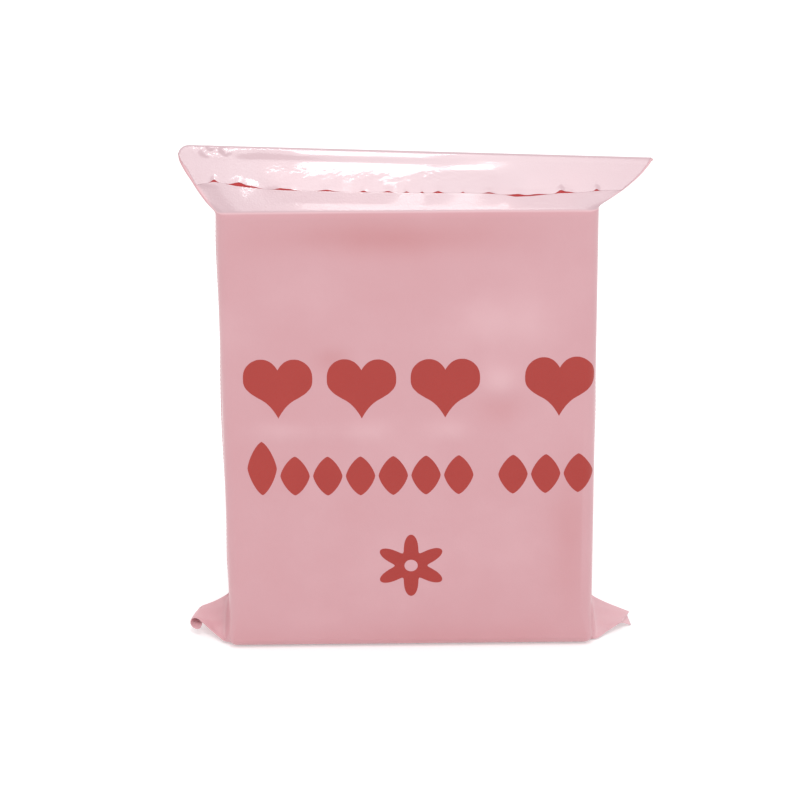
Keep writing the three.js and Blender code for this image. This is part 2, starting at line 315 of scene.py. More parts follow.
def film_material(name, coat, pebble_depth, ripple_depth, printed):
    """Glossy film of four tones, from free with nothing behind it, through doubled over and
    slack, to taut on the pack. An attribute sets the place on that scale, with painted shade and
    painted light in it, and clouds vary the place a little."""
    material = bpy.data.materials.new(name)
    material.use_nodes = True
    tree = material.node_tree
    surface = tree.nodes["Principled BSDF"]
    place = tree.nodes.new("ShaderNodeTexCoord").outputs["Object"]
    skin = tree.nodes.new("ShaderNodeGroup")
    skin.node_tree = film_skin
    for socket, value in (("Pebble Size", PEBBLE_SIZE), ("Pebble Depth", pebble_depth),
                          ("Ripple Size", RIPPLE_SIZE), ("Ripple Depth", ripple_depth)):
        skin.inputs[socket].default_value = value
    tree.links.new(place, skin.inputs["Vector"])
    # This attribute is the film's place on the tone scale, painted shade and painted light included.
    tone_and_shade_attribute = tree.nodes.new("ShaderNodeAttribute")
    tone_and_shade_attribute.attribute_name = "tightness_and_shade"
    cloud = sum_node(tree, "MULTIPLY", sum_node(tree, "SUBTRACT", skin.outputs["Cloud"], 0.5),
                     CLOUD_SWING)
    tone_and_shade_level = sum_node(tree, "ADD", sum_node(tree, "ADD", tone_and_shade_attribute.outputs["Fac"], cloud), 2.0)
    tone = tree.nodes.new("ShaderNodeValToRGB")
    stops = tone.color_ramp.elements
    stops.new(0.5)
    stops.new(0.5)
    tones = ((0.0, FREE_FILM_AND_SHEEN), (0.333, DOUBLED_FILM), (0.667, SLACK_FILM), (1.0, TIGHT_FILM_AND_SHADE))
    for stop, (position, film_colour) in zip(stops, tones):
        stop.position, stop.color = position, film_colour
    tree.links.new(sum_node(tree, "DIVIDE", tone_and_shade_level, 3.0), tone.inputs["Fac"])
    colour = tone.outputs["Color"]
    surface.inputs["Coat Weight"].default_value = coat
    if printed:
        ink = tree.nodes.new("ShaderNodeGroup")
        ink.node_tree = front_print
        tree.links.new(place, ink.inputs["Vector"])
        ink_tone = mixed_colour(tree, skin.outputs["Cloud"], INK_RED, INK_PALE)
        colour = mixed_colour(tree, ink.outputs["Ink"], colour, ink_tone)
        bare = sum_node(tree, "SUBTRACT", 1.0, ink.outputs["Ink"])
        tree.links.new(sum_node(tree, "MULTIPLY", bare, coat), surface.inputs["Coat Weight"])
    tree.links.new(colour, surface.inputs["Base Color"])
    bump = tree.nodes.new("ShaderNodeBump")
    bump.inputs["Distance"].default_value = 1.0
    tree.links.new(skin.outputs["Height"], bump.inputs["Height"])
    tree.links.new(bump.outputs["Normal"], surface.inputs["Normal"])
    surface.inputs["Roughness"].default_value = 0.32
    surface.inputs["Specular IOR Level"].default_value = 0.6
    surface.inputs["Coat Roughness"].default_value = 0.06
    return material


printed_film = film_material("printed_film", coat=0.25, pebble_depth=0.00006,
                             ripple_depth=0.00006, printed=True)
plain_film = film_material("plain_film", coat=0.6, pebble_depth=0.00003,
                           ripple_depth=0.00002, printed=False)

# The body's shape, in millimetres about the pack's middle. It closes to a ridge as wide as the
# flat bag, which falls to the right.
TO_CENTRE = -2.6
HALF_WIDTH, HALF_DEPTH, PACK_HEIGHT = 100.0, 25.0, 262.0
RIDGE_LEFT, RIDGE_RIGHT = -120.0, 128.5
RISE_LEFT, RISE_RIGHT = 29.5, 20.0
MEAN_RISE = (RISE_LEFT + RISE_RIGHT) / 2
RIDGE_HALF = 0.3
SHOULDER_RADIUS = 6.0
FOOT_RADIUS = 5.5
FOOT_CORNER, CORNER_GROWTH, CORNER_GROWN_AT = 1.5, 4.5, 25.0

# Ends of the gable, left (-1) and right (1): at shares of its height, how far each end stands out.
GABLE_ENDS = {
    -1: ([0, 0.04, 0.148, 0.261, 0.375, 0.488, 0.604, 0.75, 0.86, 0.969, 1],
         [0, 1.2, 4.4, 7.0, 10.1, 12.7, 15.8, 18.4, 19.6, 20.0, 20.0]),
    1: ([0, 0.06, 0.125, 0.267, 0.412, 0.559, 0.707, 0.857, 0.932, 1],
        [0, 0.2, 1.6, 7.0, 13.2, 18.3, 22.7, 26.2, 27.7, 28.5])}

# Ears: the outline as reach outward at places from front to back, with the rolled film laid flat.
EAR_TOP = 20.0
EAR_OUTLINES = {
    -1: ([-25, -21.5, -15.8, -9, -6.0, -5.2, -4.6, -3.8, -2.4, -1, 1, 2.2, 3.2, 4, 5.6, 14, 25],
         [0, 1.4, 7.1, 14.9, 18.6, 23.4, 28.4, 32.5, 32.3, 31.4, 29.5, 28, 26.2, 24, 18.4, 10.4, 0]),
    1: ([-24, -21.5, -18.3, -13.2, -8.6, -6.2, 0.8, 25], [0, 0.3, 4.0, 9.6, 16.6, 28.0, 23.4, 0])}

# Height of the doubled film at its middle, what it gains per millimetre to the back, and outward.
EAR_HEIGHTS = {-1: (4.2, 0.15, 6.0), 1: (2.3, 0.1, 3.6)}

# Where each ear turns down: aim in degrees, start, sway, and headings at distances past the start.
EAR_TURNS = {
    -1: (12.0, 17.3, -0.3, [0, 11, 16, 18.2, 60], [0, 180, 270, 300, 300]),
    1: (-28.5, 18.9, 0.0, [0, 0.3, 1.7, 2.2, 60], [0, 135, 135, 46, 46])}
ROLL_LENGTH = {-1: 9.7, 1: 3.2}
ROLL_FRONT, ROLL_TIGHTENS, ROLL_TIGHTEST = -5.0, 0.045, 0.4
# How far each ear's tone moves towards the pale doubled film: partly doubled film, and partly painted
# light, lifting the shade beside the wall and lighting the right ear more.
EAR_DOUBLED_AND_PAINTED_LIGHT = {-1: 0.7, 1: 1.1}

# Soft dents and swellings of the front and the back, and the front's painted shading, darker or
# lighter where shade and light fall on them: each is the middle across and up, the two half sizes,
# and the height or the change.
FRONT_RELIEF = [
    (-12, 243, 55, 8, -0.7), (51, 200, 26, 13, 0.7),
    (-41, 177, 8, 6, -0.6), (-66, 136, 20, 5, 0.55), (-24, 136, 13, 5, 0.5),
    (22, 136, 11, 5, 0.5), (48, 166, 9, 9, 0.7), (49, 148, 11, 9, -0.6),
    (87, 72, 8, 40, -0.6), (-60, 228, 40, 18, -0.4), (60, 236, 34, 12, -0.3)]
BACK_RELIEF = [(0, 255, 70, 12, 0.8), (-35, 120, 40, 12, 0.5), (30, 90, 40, 10, 0.4)]
FRONT_PAINTED_SHADING = [
    (-12, 249, 52, 10, 0.9), (50, 200, 28, 14, -0.35), (-41, 178, 9, 7, 0.6),
    (-66, 136, 20, 6, -0.4), (-24, 136, 13, 6, -0.35), (22, 136, 11, 6, -0.35),
    (48, 166, 9, 9, -0.5), (49, 148, 12, 9, 0.4), (88, 70, 10, 45, 0.5), (0, 4, 130, 9, 0.4)]


def ease(value):
    """Zero to one with level ends: three times the square less twice the cube."""
    value = np.clip(value, 0, 1)
    return value * value * (3 - 2 * value)


def full_rise(x):
    """Height of the ridge above the pack before its ends are rounded: a straight fall."""
    along = np.clip((x - RIDGE_LEFT) / (RIDGE_RIGHT - RIDGE_LEFT), 0, 1)
    return RISE_LEFT + (RISE_RIGHT - RISE_LEFT) * along


def rise_at(x):
    """Height of the ridge above the pack, less a quarter of an ellipse at each end, 6 mm long
    and 4.2 mm high at the left and 1 mm long and high at the right."""
    rise = full_rise(x)
    for distance, long, high in ((x - RIDGE_LEFT, 6.0, 4.2), (RIDGE_RIGHT - x, 1.0, 1.0)):
        inside = np.clip(1 - distance / long, 0, 1)
        rise = rise - high * (1 - np.sqrt(1 - inside * inside))
    return rise


def ridge_forward(x):
    """How far the rounded ends of the ridge stand forward, to stay in the plane of the slope."""
    return (HALF_DEPTH - RIDGE_HALF) * (1 - rise_at(x) / full_rise(x))


def end_at(height, side):
    """Half length of the bag at a share of the gable's height: its slanted outline, softened
    by the mean of three nearby heights."""
    shares, reach = GABLE_ENDS[side]
    return HALF_WIDTH + sum(np.interp(height + by, shares, reach) for by in (-0.04, 0, 0.04)) / 3


def bumps(x, z, places):
    """Sum of soft round bumps, each given by its middle, its two half sizes and its height."""
    total = np.zeros(np.broadcast(x, z).shape)
    for mid_x, mid_z, half_x, half_z, height in places:
        total = total + height * np.exp(-((x - mid_x) / half_x) ** 2 - ((z - mid_z) / half_z) ** 2)
    return total


def strip_quads(rows, columns, wrap):
    """Corner numbers of the squares of a grid, joined round in its second direction or not."""
    number = np.arange(rows * columns).reshape(rows, columns)
    right = np.roll(number, -1, axis=1)
    if not wrap:
        number, right = number[:, :-1], right[:, :-1]
    return np.stack([number[:-1], right[:-1], right[1:], number[1:]], axis=-1).reshape(-1, 4)


def make_piece(name, points, faces, material, tightness_and_shade):
    """A smooth mesh object from points in millimetres, with a tone at each point, set by how
    tautly the film lies and by painted shade and light: 1 on the pack, 0 slack, -1 doubled over,
    -2 with nothing behind it."""
    mesh = bpy.data.meshes.new(name)
    placed = (np.asarray(points).reshape(-1, 3) + (TO_CENTRE, 0, 0)) * MILLIMETRE
    mesh.from_pydata(placed.tolist(), [], faces)
    mesh.polygons.foreach_set("use_smooth", np.ones(len(mesh.polygons), dtype=bool))
    tone_and_shade_attribute = mesh.attributes.new("tightness_and_shade", "FLOAT", "POINT")
    tone_and_shade_attribute.data.foreach_set("value", tightness_and_shade + np.zeros(len(placed)))
    mesh.update()
    piece = bpy.data.objects.new(name, mesh)
    bpy.context.collection.objects.link(piece)
    mesh.materials.append(material)
    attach(piece, "root")
    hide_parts("mailer_bag")
    return piece


def outward(points, wrap):
    """Unit normals of a grid of points: its second direction crossed with its first."""
    if wrap:
        across = np.roll(points, -1, axis=1) - np.roll(points, 1, axis=1)
    else:
        across = np.gradient(points, axis=1)
    normal = np.cross(across, np.gradient(points, axis=0))
    return normal / np.maximum(np.linalg.norm(normal, axis=-1, keepdims=True), 1e-9)


def ear_middle(side, s, y):
    """Height of the middle of the doubled film: higher at the back, rising outward."""
    middle, tip_back, outward_rise = EAR_HEIGHTS[side]
    return middle + tip_back * y * (1 - (s / 25) ** 2) + outward_rise * ease(s / 25.5) ** 1.3


def ear_film(side, s, y, z):
    """Places ear film given by its reach s, its y and its height. Past a line square to the aim
    the film turns down: its middle follows the running sum of the cosine and sine of its
    heading, and its stand off that middle follows the turned normal. It sways along the fold
    as it goes, and the left ear's roll grows tighter towards the back."""
    aim, start, sway, beyond_at, headings = EAR_TURNS[side]
    turn = np.radians(aim)
    beyond = np.maximum(s * np.cos(turn) + y * np.sin(turn) - start, 0)
    size = np.clip(1 - ROLL_TIGHTENS * (y - ROLL_FRONT), ROLL_TIGHTEST, 1) if side < 0 else 1.0
    table, step = np.linspace(0, 60, 2401), 0.025
    heading = np.radians(np.interp(table, beyond_at, headings))
    gone = np.concatenate([[0], np.cumsum(np.cos(heading[:-1]) * step)])
    fallen = np.concatenate([[0], np.cumsum(np.sin(heading[:-1]) * step)])
    here = np.radians(np.interp(beyond / size, beyond_at, headings))
    stand = z - ear_middle(side, s, y)
    shift = np.interp(beyond / size, table, gone) * size - beyond + stand * np.sin(here)
    height = (ear_middle(side, s, y) - np.interp(beyond / size, table, fallen) * size
              + stand * np.cos(here))
    return np.stack([side * (HALF_WIDTH + s + shift * np.cos(turn)),
                     y + shift * np.sin(turn) + sway * beyond, height], axis=-1)


def ear_rows(side, y, lean, top_y, top_lean):
    """The film round one side of the foot, row by row: up from the floor, out along the lower
    film to the triangle's edge, back along the upper film, and up a hollow fillet to the wall.
    The lean is how far each column stands back on the rounded corner. Rows crowd together
    where the film turns down."""
    places, reaches = EAR_OUTLINES[side]
    reach = sum(np.interp(y + by, places, reaches) for by in (-0.4, 0, 0.4)) / 3
    reach = np.maximum(reach, 0.02)
    aim, start = np.radians(EAR_TURNS[side][0]), EAR_TURNS[side][1]
    first = np.minimum((start - y * np.sin(aim)) / np.cos(aim), 0.75 * reach)
    second = first + np.minimum(ROLL_LENGTH[side], 0.6 * (reach - first))
    fillet = np.minimum(4, 0.5 * reach)
    ladder = np.concatenate([
        np.linspace(0, 1, 8)[:-1], np.linspace(1, 2, 12)[:-1], np.linspace(2, 3, 8)])
    whole = np.minimum(ladder.astype(int), 2)
    part = (ladder - whole)[:, None]
    lower_knots = np.stack([0 * reach, first, second, reach])
    upper_knots = np.stack([fillet, first, second, reach])
    lower = lower_knots[whole] * (1 - part) + lower_knots[whole + 1] * part
    upper = (upper_knots[whole] * (1 - part) + upper_knots[whole + 1] * part)[-2::-1]

    def half_thickness(s):
        """Thicker at the wall, and rounded off at the edge."""
        share = np.clip(s / reach, 0, 1)
        return (0.3 + 0.35 * (1 - share) ** 2) * np.sqrt(1 - share ** 8)

    foot = np.linspace(0, np.pi / 2, 7)[:-1, None]
    rise = np.linspace(0, np.pi / 2, 12)[1:, None]
    below = np.maximum(ear_middle(side, 0, y) - half_thickness(0), 0.1)
    join = ear_middle(side, fillet, y) + half_thickness(fillet)
    s = np.concatenate([
        1.5 * (np.sin(foot) - 1) + 0 * y, lower, upper, fillet * (1 - np.sin(rise))])
    z = np.concatenate([
        below * (1 - np.cos(foot)),
        np.maximum(ear_middle(side, lower, y) - half_thickness(lower), 0.1),
        ear_middle(side, upper, y) + half_thickness(upper),
        join + (EAR_TOP - join) * (1 - np.cos(rise))])
    climb = np.concatenate([np.zeros((len(s) - len(rise), 1)), 1 - np.cos(rise)])
    on_top = np.concatenate([
        np.zeros((len(foot) + len(lower), 1)), np.ones((len(upper) + len(rise), 1))])
    ripple = 0.1 * np.sin(0.55 * y + 0.3 * s + 1) + 0.1 * np.sin(0.32 * y - 0.5 * s)
    z = z + on_top * ease((s - 1) / 5) * ease((reach - s) / 5) * ripple
    lean = lean + climb * (top_lean - lean)
    return reach, ear_film(side, s + lean, y + climb * (top_y - y), z)


# How the strip over the ridge lies, which the film below it follows. The free edge of the strip
# is its lip, and the strip's own tilt off the slope is in degrees at distances from the ridge.
LIP_X = [-112, -110.1, -105.9, -101.3, -95.5, -90.3, -85.1, -78.4, -72, -65.4, -56.5, -42.5, -25,
         -4.5, 16.4, 29.4, 42.4, 50.7, 55.4, 63.2, 71.1, 78.9, 87.8, 97.7, 106.1, 112]
LIP_REACH = [21.6, 21.2, 20.3, 19.5, 20.3, 21.4, 21.9, 22.4, 22.8, 23.3, 23.4, 23.4, 23.5,
             23.3, 23.2, 22.8, 22.9, 23.4, 24.2, 23.7, 22.7, 21.7, 21.3, 20.0, 19.4, 19.2]
FOLD_TILT = ([0, 0.5, 1, 1.5, 2.2, 3.6, 7, 8.5, 10], [46, 22, 6, 1.8, 0.6, -0.7, -0.8, -0.2, 0.1])
GROOVE_TILT = ([3.7, 4.6, 6.6, 7.6], [0, -3.2, -3.2, 0])
TURN_X = [-75, -61, -56, -40, -34.5, -29, -25, -18, -13, -6, 1, 8, 15, 22, 36, 46]
TURN_AT = [13, 13.6, 14.4, 14.3, 13.2, 14.1, 13.9, 12.2, 12.2, 14.2, 14.2, 11.2, 11, 10.6, 10.8, 12]
CREASED_X, CREASED_HALF = -101.0, 9.0
SHARPER_BY, BLUNTER_BY, TURNED_BY = 2.4, 1.0, 2.8
LAYER_GAP, CREASE_HOLLOW = 0.14, 0.36
SWELLING, SWELLING_FALL = 0.5, 0.013


def lip_reach(x):
    """Distance down the slope from the ridge to the flap's free edge, where it lies flat."""
    return np.interp(x, LIP_X, LIP_REACH)


def fold_tilt(x, distance):
    """Tilt of the folded-over strip in degrees, at a distance down from the ridge. A shallow
    groove runs below the fold, from the left end to a little past the middle. The fold is
    sharper left and right of the middle, and blunter at the creased left corner. Lower down
    the strip turns outward by almost three degrees, along a wandering line."""
    groove = ease((45 - x) / 25) * ease((x + 95) / 12)
    sharper = ease((x + 88) / 10) * (1 - ease((x + 68) / 14) * ease((26 - x) / 18))
    blunter = np.exp(-((x - CREASED_X) / CREASED_HALF) ** 4)
    turn = np.interp(x, TURN_X, TURN_AT)
    turned = ease((distance - turn + 2.2) / 4) * ease((x + 78) / 12) * ease((62 - x) / 22)
    return (np.interp(distance, *FOLD_TILT) + groove * np.interp(distance, *GROOVE_TILT)
            - SHARPER_BY * sharper * ease((distance - 1) / 0.5) * ease((5 - distance) / 1.4)
            + BLUNTER_BY * blunter * ease(distance - 1) * ease((7 - distance) / 2)
            + TURNED_BY * turned)


def strip_stand(x, distance):
    """How far the strip stands off the plane of the slope: the running sum of its tilt's tangent,
    read from a table of cuts half a millimetre apart."""
    cut, step = 0.5, 0.05
    cuts, steps = np.arange(-121, 130, cut), np.arange(0, 26, step)
    tangents = np.tan(np.radians(fold_tilt(cuts[:, None], steps[None, :])))
    sums = np.cumsum(tangents, axis=1) * step - step
    along = np.clip((x - cuts[0]) / cut, 0, len(cuts) - 1.01)
    down = np.clip(distance / step, 0, len(steps) - 1.01)
    i, j = along.astype(int), down.astype(int)
    along, down = along - i, down - j
    return ((sums[i, j] * (1 - along) + sums[i + 1, j] * along) * (1 - down)
            + (sums[i, j + 1] * (1 - along) + sums[i + 1, j + 1] * along) * down)


def film_stand(x, distance):
    """How far the film of the front slope stands off its plane: just under the strip as far as
    the strip's free edge, then straight down to a low flat swelling above the shoulder. It
    lies deeper under the creased corner."""
    length, lip = np.hypot(HALF_DEPTH - RIDGE_HALF, rise_at(x)), lip_reach(x)
    up, bend = length - distance, np.clip(4.7 - 0.035 * x, 3, 7)
    creased = np.exp(-((x - CREASED_X) / (CREASED_HALF + 2)) ** 4)
    hollow = CREASE_HOLLOW * creased * ease((10 - distance) / 3)
    above = (strip_stand(x, distance) - LAYER_GAP - hollow) * ease(distance / 3)
    share = np.clip((up - bend) / (length - lip - bend), 0, 1)
    at_bend = SWELLING - SWELLING_FALL * bend
    below = at_bend + (strip_stand(x, lip) - LAYER_GAP - at_bend) * share
    below = np.where(up < bend, SWELLING * ease(up / 2) - SWELLING_FALL * up, below)
    return np.where(distance < lip, above, below)


# One level of the film, seen from above: front, corner, right end, corner, back, corner, left
# end, corner. Each point has a share along the width, a share along the depth and a direction,
# and the points crowd a little towards the ends of each face.
FACE_POINTS, END_POINTS, CORNER_POINTS = 120, 96, 7
even = np.arange(FACE_POINTS) / FACE_POINTS
across = (1 - np.cos(np.pi * even)) / 2 * 0.4 + even * 0.6
back_to = np.interp(np.arange(END_POINTS + 1) / END_POINTS, [0, 0.28, 0.72, 1], [0, 0.33, 0.56, 1])
backward, forward = back_to[:-1], back_to[:0:-1]
quarter = np.arange(CORNER_POINTS) / CORNER_POINTS * np.pi / 2
face_0, end_0, corner_0 = np.zeros(FACE_POINTS), np.zeros(END_POINTS), np.zeros(CORNER_POINTS)
along = np.concatenate([
    across, corner_0 + 1, end_0 + 1, corner_0 + 1, 1 - across, corner_0, end_0, corner_0])
deep = np.concatenate([
    face_0, corner_0, backward, corner_0 + 1, face_0 + 1, corner_0 + 1, forward, corner_0])
angle = np.concatenate([
    face_0 - np.pi / 2, quarter - np.pi / 2, end_0, quarter, face_0 + np.pi / 2, quarter + np.pi / 2,
    end_0 + np.pi, quarter + np.pi])
on_face = np.concatenate([
    face_0 - 1, corner_0, end_0, corner_0, face_0 + 1, corner_0, end_0, corner_0])
on_end = np.concatenate([
    face_0, corner_0, end_0 + 1, corner_0, face_0, corner_0, end_0 - 1, corner_0])


def level_of_film(left, right, half, corner):
    """x and y round a level that reaches left, right and half its depth each way: the middle of
    the nearest corner's circle, plus the circle's radius in the point's direction."""
    x = (corner - left) + along * (left + right - 2 * corner) + corner * np.cos(angle)
    y = (corner - half) + deep * (2 * half - 2 * corner) + corner * np.sin(angle)
    return x, y


def corner_growth(height):
    """What the upright corners' radius gains with height."""
    return CORNER_GROWTH * ease(height / CORNER_GROWN_AT)


def foot_levels():
    """Levels from the floor to the top of the ears. The bottom edge is tucked in by a quarter
    circle, and the columns of the two sides pass through the ears on their way up."""
    curl = np.linspace(0, np.pi / 2, 8)
    low = np.concatenate([3 * (1 - np.cos(curl)), np.linspace(3, EAR_TOP, 61)[1:]])[:, None]
    within = np.clip(FOOT_RADIUS - low, 0, FOOT_RADIUS)
    tuck = FOOT_RADIUS - np.sqrt(FOOT_RADIUS ** 2 - within ** 2)
    x, y = level_of_film(HALF_WIDTH - tuck, HALF_WIDTH - tuck, HALF_DEPTH - tuck,
                         FOOT_CORNER + corner_growth(low))
    levels = np.stack([x, y, low + 0 * x], axis=-1)
    base_y = level_of_film(HALF_WIDTH, HALF_WIDTH, HALF_DEPTH, FOOT_CORNER)[1]
    lean = FOOT_CORNER * (np.abs(np.cos(angle)) - 1)
    top_lean = (FOOT_CORNER + corner_growth(EAR_TOP)) * (np.abs(np.cos(angle)) - 1)
    for side in (-1, 1):
        here = (np.abs(along - 0.5 - 0.5 * side) < 1e-9) & (on_face == 0)
        reach, ear = ear_rows(side, base_y[here], lean[here], y[-1][here], top_lean[here])
        part = ease(reach / 4)[None, :, None]
        levels[:, here] = part * ear + (1 - part) * levels[:, here]
    return levels


def upper_levels():
    """Levels from the top of the ears to the ridge, and each level's share of the gable's
    height: upright to the shoulder, round it on an arc, then straight up the two slopes."""
    slope = np.arctan2(HALF_DEPTH - RIDGE_HALF, MEAN_RISE)
    tangent = SHOULDER_RADIUS * np.tan(slope / 2)
    body = np.linspace(EAR_TOP, PACK_HEIGHT - tangent, 84)[1:]
    bend = np.linspace(0, slope, 12)[1:]
    gable = np.linspace(tangent * np.cos(slope) / MEAN_RISE, 1, 56)[1:]
    height = np.concatenate([
        body, PACK_HEIGHT - tangent + SHOULDER_RADIUS * np.sin(bend), PACK_HEIGHT + gable * MEAN_RISE])
    half = np.concatenate([
        np.full(len(body), HALF_DEPTH), HALF_DEPTH - SHOULDER_RADIUS * (1 - np.cos(bend)),
        HALF_DEPTH + gable * (RIDGE_HALF - HALF_DEPTH)])
    height, half = height[:, None], half[:, None]
    share = (height - PACK_HEIGHT) / MEAN_RISE
    corner = FOOT_CORNER + corner_growth(height) * (1 - ease(share / 0.3))
    x, y = level_of_film(end_at(share, -1), end_at(share, 1), half, np.minimum(corner, half * 0.95))
    z = np.where(share > 0, PACK_HEIGHT + share * rise_at(x), height + 0 * x)
    y = y - np.clip(share, 0, 1) * ridge_forward(x)
    return np.stack([x, y, z], axis=-1), share


def filled_out(points, share):
    """The levels with the pack's belly: the faces swell by 1.5 mm, the ends by 0.6 mm, the ends
    of the gable are pinched in by 3 mm, and the whole leans a little to the left."""
    z = points[..., 2]
    swell = np.where(share < 0, 1 - np.abs(2 * z / PACK_HEIGHT - 1) ** 3, 0) * ease((z - 6) / 40)
    pinch = -3.0 * np.sin(np.pi * np.clip(share, 0, 1))
    points[..., 0] += (0.7 - 1.5 * np.clip(z / PACK_HEIGHT, 0, 1)) * (1 - np.clip(share, 0, 1))
    points[..., 0] += on_end * (0.6 * swell + pinch) * (1 - (2 * deep - 1) ** 2)
    points[..., 1] += on_face * 1.5 * swell * (1 - (2 * along - 1) ** 2)
    return points


def film_relief(points, normal, share, from_end):
    """How far each point moves along its normal: soft dents and swellings of the front and the
    back, slow waves, and on the slopes what the strip and the fold make the film do."""
    x, z = points[..., 0], points[..., 2]
    front = np.clip(-normal[..., 1], 0, 1) ** 2 * (share <= 0)
    back = np.clip(normal[..., 1], 0, 1) ** 2 * (share <= 0)
    side = np.abs(on_end) * ease((z - EAR_TOP) / 30) * ease((PACK_HEIGHT - z) / 30)
    fade = ease(z / 25) * ease((HALF_WIDTH - np.abs(x)) / 22)
    front_waves = 0.3 * np.sin(x / 19 + 0.8) * np.sin(z / 33 + 1.3)
    back_waves = 0.5 * np.sin(x / 23 + 2.1) * np.sin(z / 37 + 0.4)
    relief = front * fade * (bumps(x, z, FRONT_RELIEF) + front_waves)
    relief = relief + back * fade * (back_waves + bumps(x, z, BACK_RELIEF))
    relief = relief + side * 0.35 * np.sin(z / 17) * (1 - (2 * deep - 1) ** 2)
    slope_length = np.hypot(HALF_DEPTH, rise_at(x))
    up_slope, down_slope = share * slope_length, (1 - share) * slope_length
    fade_width = 5 + 10 * ease((down_slope - lip_reach(x) + 0.5) / 4)
    middle = ease((from_end - 0.3) / fade_width) * np.abs(on_face) * (share > -0.1)
    rear = 0.6 * np.exp(-((up_slope - 4) / 6.5) ** 4)
    return relief + middle * np.where(on_face < 0, film_stand(x, down_slope), rear)


def film_tightness_and_shade(x, z, share, from_end):
    """Place on the tone scale: deeper on the front, where the film is drawn over the pack, with
    painted shade in the band under the shoulder, in a crease, down the right and along the foot,
    and painted light on swellings; paler on the doubled ears, where part of the paleness is painted
    light; and palest on the slopes, film with nothing behind it whose pale tone also paints in part
    of their sheen, apart from their ends, kept deeper as painted shade of the layers there."""
    # Painted shade and painted light on the front, set deeper or paler on the tone scale.
    tightness_and_shade = (on_face < 0) * bumps(x, z, FRONT_PAINTED_SHADING)
    on_ear = ease((np.abs(x) - HALF_WIDTH - 1) / 4) * (z < EAR_TOP)
    # The ears' paler tone: part doubled film, part painted light.
    on_ear = on_ear * np.where(x < 0, EAR_DOUBLED_AND_PAINTED_LIGHT[-1], EAR_DOUBLED_AND_PAINTED_LIGHT[1])
    # Near the gable's ends the slopes keep a deeper tone: painted shade of the layers there.
    edge = np.exp(-(from_end / 1.6) ** 2) * np.where(x < 0, 1.0, 0.85)
    up_slope = share * np.hypot(HALF_DEPTH, rise_at(x))
    # On the slopes the film goes to the pale free tone, which also paints in part of their sheen.
    return tightness_and_shade - on_ear - 2 * ease(up_slope / 2.5) * (1 - edge)


def closed_skin(rows):
    """Faces of the skin: the squares between levels, and at the floor and at the ridge the
    front joined straight across to the back."""
    columns = len(angle)
    half_end = END_POINTS // 2
    mirror = 2 * FACE_POINTS + 2 * CORNER_POINTS + END_POINTS
    line = np.arange(-CORNER_POINTS - half_end, FACE_POINTS + CORNER_POINTS + half_end)
    near, far = line % columns, (mirror - line) % columns
    near_next, far_next = (line + 1) % columns, (mirror - line - 1) % columns
    floor_cap = np.stack([near, far, far_next, near_next], axis=-1)
    ridge_cap = np.stack([near, near_next, far_next, far], axis=-1) + (rows - 1) * columns
    caps = [tuple(dict.fromkeys(face)) for cap in (floor_cap, ridge_cap) for face in cap.tolist()]
    return [tuple(quad) for quad in strip_quads(rows, columns, True).tolist()] + caps


foot_film = foot_levels()
upper_film, gable_share = upper_levels()
film_share = np.concatenate([np.full((len(foot_film), 1), -1.0), gable_share])
film_points = filled_out(np.concatenate([foot_film, upper_film]), film_share)
film_normal = outward(film_points, True)
film_x, film_z = film_points[..., 0], film_points[..., 2]
film_from_end = np.where(film_x < 0, end_at(film_share, -1), end_at(film_share, 1)) - np.abs(film_x)
film_tone_and_shade = film_tightness_and_shade(film_x, film_z, film_share, film_from_end)
film_moved = film_relief(film_points, film_normal, film_share, film_from_end)
film_points = film_points + film_normal * film_moved[..., None]
film_shell = make_piece("film_body", film_points, closed_skin(len(film_points)), printed_film,
                        film_tone_and_shade.ravel())


# Gap shade band. A deep red strip laid along the front slope just above the flap's free edge: a
# painted shade of the gap under the lip, deep red from light passed through the pink film several
# times. It shows only where that edge has lifted off it.
GAP_SHADE_DEEP, GAP_SHADE_LIGHT = linear(178, 40, 44), linear(200, 62, 62)
BAND_LEFT, BAND_RIGHT = -104.0, 100.0
BAND_WIDE, BAND_INSIDE = 3.0, 0.15
BAND_PROUD, BAND_DEPTH = 0.05, 0.3


def slope_directions(x):
    """Unit vectors in the plane of one cut through the gable: down the front slope, and out
    from it. The slope runs from the pack's front edge to the ridge."""
    rise = full_rise(x)
    length = np.hypot(HALF_DEPTH - RIDGE_HALF, rise)
    down = np.stack([0 * rise, (RIDGE_HALF - HALF_DEPTH) / length, -rise / length], axis=-1)
    out = np.stack([0 * rise, down[..., 2], -down[..., 1]], axis=-1)
    return down, out


def on_slope(x, distance, stand):
    """A point on the front slope: distance down from the ridge, and stand out from it."""
    down, out = slope_directions(x)
    ridge = np.stack([x, -RIDGE_HALF - ridge_forward(x), PACK_HEIGHT + rise_at(x)], axis=-1)
    return ridge + down * distance[..., None] + out * stand[..., None]


def shell_of(outer, inner):
    """A closed thin shell between two grids: the outer, the inner turned over, and a rim."""
    rows, columns = outer.shape[:2]
    count = rows * columns
    quads = strip_quads(rows, columns, False)
    number = np.arange(count).reshape(rows, columns)
    rim = np.concatenate([number[0], number[1:, -1], number[-1, -2::-1], number[-2:0:-1, 0]])
    after = np.roll(rim, -1)
    edge = np.stack([after, rim, rim + count, after + count], axis=-1)
    faces = np.concatenate([quads, quads[:, ::-1] + count, edge])
    points = np.concatenate([outer.reshape(-1, 3), inner.reshape(-1, 3)])
    return points, faces.tolist()


